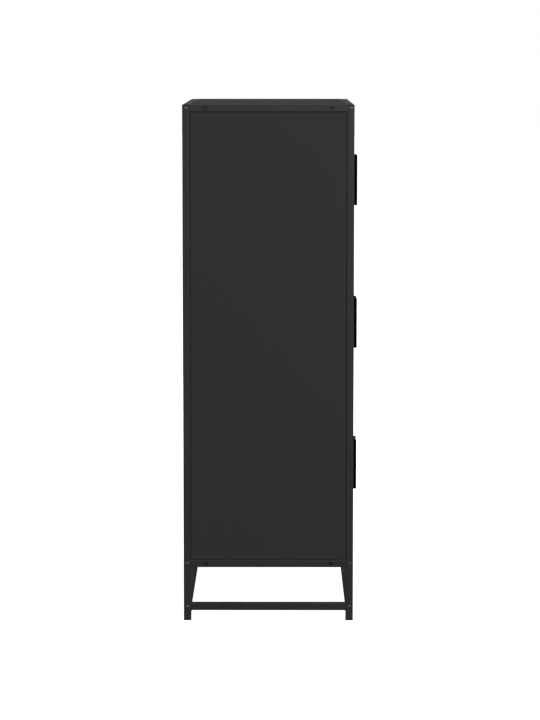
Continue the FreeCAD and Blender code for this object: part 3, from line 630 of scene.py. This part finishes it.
class CHEST_OT_stage(bpy.types.Operator):
    """Set the floor, the light and the camera"""

    bl_idname = "chest.stage"
    bl_label = "Stage"

    # Each lamp's name, place, size in metres, power in watts and whether it shows in reflections.
    LAMPS = (("key", (-6.4, -2.8, 3.0), 2.4, 215, True),
             ("fill", (3.2, 1.0, 1.6), 2.0, 30, False),
             ("front_fill", (0.6, -4.5, 1.8), 2.0, 50, False))
    LAMP_TARGET = (0, 0, 0.5)
    CAMERA_PLACE = (-5.7, -0.0145, 1.1496)
    CAMERA_TARGET = (0, 0.0044, 0.494)
    LENS = 136.25
    SENSOR = 36
    # The room's light changes with the direction's unit vector: with its Z over WALL_TO_CEILING, and with its
    # X plus REAR_SHARE of its Y over NEAR_TO_FAR, which counts less as Z goes through DIM_TO_FULL.
    WALL_TO_CEILING = (0.05, 0.75)
    NEAR_TO_FAR = (0.1, 0.7)
    DIM_TO_FULL = (0.3, 0.85)
    REAR_SHARE = 0.5

    floor_size: bpy.props.FloatProperty(
        name="Floor", description="Side of the floor", unit="LENGTH", default=60.0)
    bounce: bpy.props.FloatProperty(
        name="Bounce", description="How pale the floor is to the light", default=0.2)
    lift: bpy.props.FloatProperty(
        name="Lift", description="Glow that makes the floor read white", default=0.92)
    paleness: bpy.props.FloatProperty(
        name="Paleness", description="How pale the floor is to the camera", default=0.93)
    horizon: bpy.props.FloatProperty(
        name="Horizon", description="Strength of the walls' light", default=0.5)
    zenith: bpy.props.FloatProperty(
        name="Zenith", description="Strength of the ceiling's light", default=0.42)
    far_wall: bpy.props.FloatProperty(
        name="Far wall", description="Share of its light that the far wall keeps", default=0.42)

    def execute(self, context):
        self.floor()
        self.world(context.scene)
        self.lights()
        self.camera(context.scene)
        context.scene.view_settings.view_transform = "Standard"
        return {"FINISHED"}

    def floor(self):
        """A plain pale floor that is clear when seen from below."""
        deselect()
        bpy.ops.mesh.primitive_plane_add(size=self.floor_size, location=(0, 0, 0))
        floor = settle(bpy.context.object, "floor")
        material = bpy.data.materials.new("pale_floor")
        material.use_nodes = True
        tree = material.node_tree
        shader = tree.nodes["Principled BSDF"]
        seen = tree.nodes.new("ShaderNodeLightPath").outputs["Is Camera Ray"]
        tone = mix_colour(tree, seen, (self.bounce,) * 3, (self.paleness,) * 3)
        tree.links.new(tone, shader.inputs["Base Color"])
        shader.inputs["Roughness"].default_value = 0.9
        shader.inputs["Specular IOR Level"].default_value = 0.1
        shader.inputs["Emission Color"].default_value = (1, 1, 1, 1)
        tree.links.new(math_node(tree, "MULTIPLY", seen, self.lift), shader.inputs["Emission Strength"])
        clear = tree.nodes.new("ShaderNodeBsdfTransparent")
        under = tree.nodes.new("ShaderNodeMixShader")
        tree.links.new(tree.nodes.new("ShaderNodeNewGeometry").outputs["Backfacing"], under.inputs["Fac"])
        tree.links.new(shader.outputs[0], under.inputs[1])
        tree.links.new(clear.outputs[0], under.inputs[2])
        tree.links.new(under.outputs[0], tree.nodes["Material Output"].inputs["Surface"])
        floor.data.materials.append(material)

    def world(self, scene):
        """A white room, dimmer low down on its far side, that the camera sees as plain white."""
        world = bpy.data.worlds.new("room")
        world.use_nodes = True
        tree = world.node_tree
        light = tree.nodes["Background"]
        light.inputs["Color"].default_value = (1, 1, 1, 1)
        direction = tree.nodes.new("ShaderNodeSeparateXYZ")
        tree.links.new(tree.nodes.new("ShaderNodeTexCoord").outputs["Object"], direction.inputs[0])
        upward = direction.outputs["Z"]
        height = ramp_node(tree, upward, *self.WALL_TO_CEILING, self.horizon, self.zenith)
        low_down = ramp_node(tree, upward, *self.DIM_TO_FULL, 1.0, 0.0)
        rearward = math_node(tree, "MULTIPLY", direction.outputs["Y"], self.REAR_SHARE)
        far_side = math_node(tree, "ADD", direction.outputs["X"], rearward)
        dim = math_node(tree, "MULTIPLY", ramp_node(tree, far_side, *self.NEAR_TO_FAR), low_down)
        kept = ramp_node(tree, dim, 0.0, 1.0, 1.0, self.far_wall)
        tree.links.new(math_node(tree, "MULTIPLY", height, kept), light.inputs["Strength"])
        seen = tree.nodes.new("ShaderNodeBackground")
        seen.inputs["Color"].default_value = (1, 1, 1, 1)
        seen.inputs["Strength"].default_value = 1.0
        path = tree.nodes.new("ShaderNodeLightPath")
        mix = tree.nodes.new("ShaderNodeMixShader")
        tree.links.new(path.outputs["Is Camera Ray"], mix.inputs["Fac"])
        tree.links.new(light.outputs[0], mix.inputs[1])
        tree.links.new(seen.outputs[0], mix.inputs[2])
        tree.links.new(mix.outputs[0], tree.nodes["World Output"].inputs["Surface"])
        scene.world = world

    def lights(self):
        """A wide soft light on the left and to the front, and weaker ones on the far side and in front."""
        for name, place, size, power, reflected in self.LAMPS:
            light = bpy.data.lights.new(name, "AREA")
            light.size = size
            light.energy = power
            lamp = bpy.data.objects.new(name, light)
            lamp.visible_glossy = reflected
            lamp.location = place
            aim = Vector(self.LAMP_TARGET) - Vector(place)
            lamp.rotation_euler = aim.to_track_quat("-Z", "Y").to_euler()
            bpy.context.scene.collection.objects.link(lamp)

    def camera(self, scene):
        """A long lens a little above the chest's top, square on to its left side."""
        place = Vector(self.CAMERA_PLACE)
        target = Vector(self.CAMERA_TARGET)
        data = bpy.data.cameras.new("camera")
        data.lens = self.LENS
        data.sensor_width = self.SENSOR
        camera = bpy.data.objects.new("camera", data)
        camera.location = place
        camera.rotation_euler = (target - place).to_track_quat("-Z", "Y").to_euler()
        scene.collection.objects.link(camera)
        scene.camera = camera


class CHEST_OT_frame_coat(bpy.types.Operator):
    """Coat the steel frame and finish its bolts and screws"""

    bl_idname = "chest.frame_coat"
    bl_label = "Frame coat"

    def execute(self, context):
        coat(FRAME_NODES, powder_coat())
        coat(DARK_BOLTS, dark_plating())
        coat(GREY_SCREWS, phosphated_steel())
        return {"FINISHED"}


class CHEST_OT_boards(bpy.types.Operator):
    """Face the boards of the carcase and the drawers"""

    bl_idname = "chest.boards"
    bl_label = "Boards"

    def execute(self, context):
        coat(CARCASE_BOARDS + BOX_BOARDS, melamine())
        coat(THIN_BOARDS, fibreboard())
        return {"FINISHED"}


class CHEST_OT_runner_metal(bpy.types.Operator):
    """Finish the runners, rollers, brackets, cams and small screws"""

    bl_idname = "chest.runner_metal"
    bl_label = "Runner metal"

    def execute(self, context):
        coat(SHEET_PARTS, zinc_sheet())
        coat(ROLLERS, roller_nylon())
        coat(BRIGHT_SCREWS, bright_screw_steel())
        coat(CAMS, cast_zinc())
        return {"FINISHED"}


class CHEST_OT_pulls(bpy.types.Operator):
    """Model the three loop pulls"""

    bl_idname = "chest.pulls"
    bl_label = "Pulls"

    bar: bpy.props.FloatProperty(name="Bar", description="Width of a bar", unit="LENGTH", default=8 * MM)
    depth: bpy.props.FloatProperty(name="Depth", description="Depth of an upright", unit="LENGTH",
                                   default=7 * MM)
    set_back: bpy.props.FloatProperty(
        name="Set back", description="How far the cross bars stand behind the uprights", unit="LENGTH",
        default=1.5 * MM)
    post_edge: bpy.props.FloatProperty(name="Post edge", description="Rounding of the posts' ends",
                                       unit="LENGTH", default=0.3 * MM)

    def execute(self, context):
        metal = satin_coat()
        for drawer in DRAWERS:
            node = drawer + "_drawer_pull"
            pull = self.loop(drawer + "_pull", *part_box(node))
            dressed(pull, metal, drawer + "_drawer")
            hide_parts(node)
        return {"FINISHED"}

    def loop(self, name, low, high):
        """An upright with thinner cross bars grown from it, mirrored into a loop, and two posts behind."""
        face, post_end = low.y, high.y
        rear = face + self.depth
        upright = block(name, (low.x, face, low.z), (low.x + self.bar, rear, high.z))
        thin = self.set_back / 2
        levels = ((low.z + thin, low.z + self.bar - thin), (high.z - self.bar + thin, high.z - thin))
        for bottom, top in levels:
            bisect(upright, (0, 0, bottom), (0, 0, 1))
            bisect(upright, (0, 0, top), (0, 0, 1))
        front_plane, rear_plane = face + self.set_back, rear - thin
        bisect(upright, (0, front_plane, 0), (0, 1, 0))
        bisect(upright, (0, rear_plane, 0), (0, 1, 0))

        def on_cross_bar(polygon):
            middle = polygon.center
            level = any(bottom < middle.z < top for bottom, top in levels)
            return polygon.normal.x > FACING and level and front_plane < middle.y < rear_plane

        pick_faces(upright, on_cross_bar)
        bpy.ops.mesh.extrude_region_move(
            TRANSFORM_OT_translate={"value": (-low.x - self.bar, 0, 0), "orient_type": "GLOBAL"})
        bpy.ops.mesh.delete(type="FACE")
        done()
        applied(upright, "MIRROR", use_axis=(True, False, False), merge_threshold=MERGE_WITHIN)
        outward(upright)
        rounded(upright, sizes().pull_edge, segments=4)
        posts = []
        for bottom, top in levels:
            level = (bottom + top) / 2
            start = (0, face + self.depth / 2, level)
            post = rod("post", sizes().pull_post, start, (0, post_end, level), sides=40)
            posts.append(rounded(post, self.post_edge, segments=2))
        return together(name, [upright] + posts)


class CHEST_OT_pull_screws(bpy.types.Operator):
    """Model the cross-recessed screws inside the drawers that hold the pulls"""

    bl_idname = "chest.pull_screws"
    bl_label = "Pull screws"

    head_radius: bpy.props.FloatProperty(name="Head", description="Head radius", unit="LENGTH",
                                         default=4 * MM)
    head_depth: bpy.props.FloatProperty(name="Depth", description="Head depth", unit="LENGTH",
                                        default=2.2 * MM)
    crown: bpy.props.FloatProperty(name="Crown", description="Rounding of the head", unit="LENGTH",
                                   default=1.2 * MM)
    shank: bpy.props.FloatProperty(name="Shank", description="Shank radius", unit="LENGTH", default=1.95 * MM)
    tip: bpy.props.FloatProperty(name="Tip", description="Rounding of the shank's end", unit="LENGTH",
                                 default=0.4 * MM)
    slot_width: bpy.props.FloatProperty(name="Slot width", description="Width of the recess's arms",
                                        unit="LENGTH", default=0.9 * MM)
    slot_depth: bpy.props.FloatProperty(name="Slot depth", description="Depth of the recess", unit="LENGTH",
                                        default=1.4 * MM)
    slot_reach: bpy.props.FloatProperty(
        name="Slot reach", description="Reach of the recess's arms as a share of the head's radius",
        default=0.55, subtype="FACTOR")

    def execute(self, context):
        steel = bright_screw_steel()
        pattern = self.screw()
        for drawer in DRAWERS:
            node = drawer + "_pull_screws"
            low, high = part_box(node)
            heights = (low.z + self.head_radius, high.z - self.head_radius)
            screws = [copy_of(pattern, "screw", (0, high.y, height)) for height in heights]
            pair = together(drawer + "_pull_screw_pair", screws)
            dressed(pair, steel, drawer + "_drawer")
            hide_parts(node)
        bpy.data.objects.remove(pattern)
        return {"FINISHED"}

    def screw(self):
        """One screw along Y with its head's top at the origin."""
        low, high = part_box("lower_pull_screws")
        head = rod("screw", self.head_radius, (0, -self.head_depth, 0), (0, 0, 0), sides=36)
        pick_edges(head, lambda a, b: a.y > -NEAR and b.y > -NEAR)
        bpy.ops.mesh.bevel(offset=self.crown, segments=5)
        done()
        reach, half_width, depth = self.head_radius * self.slot_reach, self.slot_width / 2, self.slot_depth
        for across, up in ((reach, half_width), (half_width, reach)):
            cutter = block("cutter", (-across, -depth, -up), (across, depth, up))
            applied(head, "BOOLEAN", operation="DIFFERENCE", object=cutter, solver="EXACT")
            bpy.data.objects.remove(cutter)
        shank = rod("shank", self.shank, (0, low.y - high.y, 0), (0, -self.head_depth, 0), sides=24)
        rounded(shank, self.tip, segments=2)
        return together("screw", [head, shank])


class CHEST_OT_feet(bpy.types.Operator):
    """Model the four moulded feet"""

    bl_idname = "chest.feet"
    bl_label = "Feet"

    flange: bpy.props.FloatProperty(name="Flange", description="Height of the visible part", unit="LENGTH",
                                    default=3 * MM)
    wall: bpy.props.FloatProperty(name="Wall", description="Space round the plug", unit="LENGTH",
                                  default=1.3 * MM)
    rib: bpy.props.FloatProperty(name="Rib", description="Height of a rib of the plug", unit="LENGTH",
                                 default=2.5 * MM)
    gap: bpy.props.FloatProperty(name="Gap", description="Height of the neck over a rib", unit="LENGTH",
                                 default=1.0 * MM)

    def execute(self, context):
        plastic = moulded_plastic()
        low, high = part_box("foot_caps")
        width = tube_width()
        for foot in at_posts("foot", self.foot(low, high, width), low, high, width):
            dressed(foot, plastic, "root")
            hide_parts("foot_caps")
        return {"FINISHED"}

    def foot(self, low, high, width):
        """One foot at the low X, low Y corner: a rounded flange, a ribbed plug and a grooved sole."""
        foot = square_block("foot", Vector(low), width, self.flange, sizes().tube_corner)
        pick_faces(foot, lambda face: face.normal.z < -FACING)
        round_end(-1, sizes().foot_edge)
        groove, groove_depth, middle, middle_rise = 0.82, 0.6 * MM, 0.7, 0.4 * MM
        for rise, share in ((0.0, groove), (groove_depth, 1.0), (0.0, middle), (-middle_rise, 1.0)):
            drawn_out(rise, share)
        done()
        plug_base = low.z + self.flange
        pick_faces(foot, lambda face: face.normal.z > FACING and face.center.z > plug_base - NEAR)
        drawn_out(0.0, 1 - 2 * self.wall / width)
        ribs, neck, tip = 2, 0.95, 0.86
        for rise, share in ((self.rib, 1.0), (0.0, neck), (self.gap, 1.0), (0.0, 1 / neck)) * ribs:
            drawn_out(rise, share)
        drawn_out(high.z - plug_base - ribs * (self.rib + self.gap), tip)
        done()
        return outward(foot)


class CHEST_OT_post_caps(bpy.types.Operator):
    """Model the four caps on the post tops"""

    bl_idname = "chest.post_caps"
    bl_label = "Post caps"

    wall: bpy.props.FloatProperty(name="Wall", description="Space round the plug", unit="LENGTH",
                                  default=1.3 * MM)
    flange: bpy.props.FloatProperty(name="Flange", description="Height of the visible part", unit="LENGTH",
                                    default=0.6 * MM)
    crown: bpy.props.FloatProperty(name="Crown", description="Rise of the top's middle", unit="LENGTH",
                                   default=0.1 * MM)
    margin: bpy.props.FloatProperty(name="Margin", description="Slope round the top's middle", unit="LENGTH",
                                    default=1.2 * MM)
    taper: bpy.props.FloatProperty(name="Taper", description="Width of the plug's end as a share of its base",
                                   default=0.92, subtype="FACTOR")

    def execute(self, context):
        plastic = moulded_plastic()
        low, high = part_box("post_caps")
        width = tube_width()
        for cap in at_posts("cap", self.cap(low, high, width), low, high, width):
            dressed(cap, plastic, "root")
            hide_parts("post_caps")
        return {"FINISHED"}

    def cap(self, low, high, width):
        """A pillow-topped cap with a plug below it, at the low X, low Y corner."""
        tube_top = high.z - self.flange
        cap = square_block("cap", Vector((low.x, low.y, tube_top)), width, self.flange, sizes().tube_corner)
        pick_faces(cap, lambda face: face.normal.z > FACING)
        bpy.ops.transform.translate(value=(0, 0, -self.crown))
        round_end(1, self.flange - 2 * self.crown)
        bpy.ops.mesh.inset(thickness=self.margin)
        bpy.ops.transform.translate(value=(0, 0, self.crown))
        done()
        pick_faces(cap, lambda face: face.normal.z < -FACING)
        drawn_out(0.0, 1 - 2 * self.wall / width)
        drawn_out(low.z - tube_top, self.taper)
        done()
        return outward(cap)


class CHEST_OT_welds(bpy.types.Operator):
    """Model the weld beads where the rails of the side frames meet the posts"""

    bl_idname = "chest.welds"
    bl_label = "Weld beads"

    pitch: bpy.props.FloatProperty(name="Pitch", description="Step from one scale of a bead to the next",
                                   unit="LENGTH", default=1.25 * MM)
    end_gap: bpy.props.FloatProperty(name="End gap", description="Tube left bare at each end of a bead",
                                     unit="LENGTH", default=0.3 * MM)
    scale_length: bpy.props.FloatProperty(
        name="Scale length", description="Length of a scale as a share of its width", default=0.75,
        subtype="FACTOR")
    voxel: bpy.props.FloatProperty(name="Voxel", description="Size of the remeshing", unit="LENGTH",
                                   default=0.32 * MM)

    def execute(self, context):
        coating = powder_coat()
        bead = self.bead()
        for side in SIDES:
            low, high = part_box("side_frame_" + side)
            beads = [copy_of(bead, "bead", corner) for corner in self.corners(low, high)]
            welds = together("weld_beads_" + side, beads)
            dressed(welds, coating, "root", smooth=60)
        bpy.data.objects.remove(bead)
        return {"FINISHED"}

    def corners(self, low, high):
        """Middle of each inner corner: under the lower rail, and over and under the stretcher."""
        under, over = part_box("front_stretcher")
        rail_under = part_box("front_lower_rail")[0].z
        middle = (low.x + high.x) / 2
        return [Vector((middle, y, z)) for y in (low.y + tube_width(), high.y - tube_width())
                for z in (rail_under, under.z, over.z)]

    def bead(self):
        """A row of overlapping scales across the tube, fused into one skin."""
        leg = sizes().bead_leg
        run = tube_width() - 2 * (leg + self.end_gap)
        deselect()
        bpy.ops.mesh.primitive_uv_sphere_add(segments=16, ring_count=10, radius=leg,
                                             location=(-run / 2, 0, 0), scale=(self.scale_length, 1, 1))
        bead = settle(bpy.context.object, "bead")
        count = int(run / self.pitch) + 1
        applied(bead, "ARRAY", count=count, use_relative_offset=False, use_constant_offset=True,
                constant_offset_displace=(run / (count - 1), 0, 0))
        applied(bead, "REMESH", mode="VOXEL", voxel_size=self.voxel)
        applied(bead, "SMOOTH", factor=0.4, iterations=2)
        return outward(bead)


class CHEST_OT_edging(bpy.types.Operator):
    """Model the edging strip round each drawer front"""

    bl_idname = "chest.edging"
    bl_label = "Front edging"

    proud: bpy.props.FloatProperty(name="Proud", description="How far the strip stands out of the board",
                                   unit="LENGTH", default=0.12 * MM)

    def execute(self, context):
        strip = edging_plastic()
        for drawer in DRAWERS:
            low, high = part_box(drawer + "_drawer_front")
            ring = self.ring(drawer + "_front_edging", low, high)
            dressed(ring, strip, drawer + "_drawer")
        return {"FINISHED"}

    def ring(self, name, low, high):
        """A closed band round the board's four edges, a little proud of it."""
        out = Vector((self.proud, self.proud, self.proud))
        band = block(name, low - out, high + out)
        pick_faces(band, lambda face: abs(face.normal.y) > FACING)
        bpy.ops.mesh.inset(thickness=sizes().edging + self.proud)
        bpy.ops.mesh.bridge_edge_loops()
        done()
        outward(band)
        return rounded(band, sizes().edging / 2, segments=3)


class CHEST_PT_panel(bpy.types.Panel):
    """The chest's sizes, colours and operators"""

    bl_idname = "CHEST_PT_panel"
    bl_label = "Chest of drawers"
    bl_space_type = "VIEW_3D"
    bl_region_type = "UI"
    bl_category = "Chest"

    def draw(self, context):
        for settings in (context.scene.chest_sizes, context.scene.chest_colours):
            for name in settings.__annotations__:
                self.layout.prop(settings, name)
        for operator in OPERATORS:
            self.layout.operator(operator.bl_idname)


OPERATORS = (CHEST_OT_shader_groups, CHEST_OT_stage, CHEST_OT_frame_coat, CHEST_OT_boards,
             CHEST_OT_runner_metal, CHEST_OT_pulls, CHEST_OT_pull_screws, CHEST_OT_feet, CHEST_OT_post_caps,
             CHEST_OT_welds, CHEST_OT_edging)
CLASSES = (ChestColours, ChestSizes) + OPERATORS + (CHEST_PT_panel,)


def register():
    """Registers the classes and the scene's settings."""
    for cls in CLASSES:
        bpy.utils.register_class(cls)
    bpy.types.Scene.chest_colours = bpy.props.PointerProperty(type=ChestColours)
    bpy.types.Scene.chest_sizes = bpy.props.PointerProperty(type=ChestSizes)


def unregister():
    """Takes them away again."""
    del bpy.types.Scene.chest_sizes
    del bpy.types.Scene.chest_colours
    for cls in reversed(CLASSES):
        bpy.utils.unregister_class(cls)


def main():
    """Builds everything in order."""
    register()
    for operator in OPERATORS:
        family, name = operator.bl_idname.split(".")
        getattr(getattr(bpy.ops, family), name)()


if __name__ == "__main__":
    main()
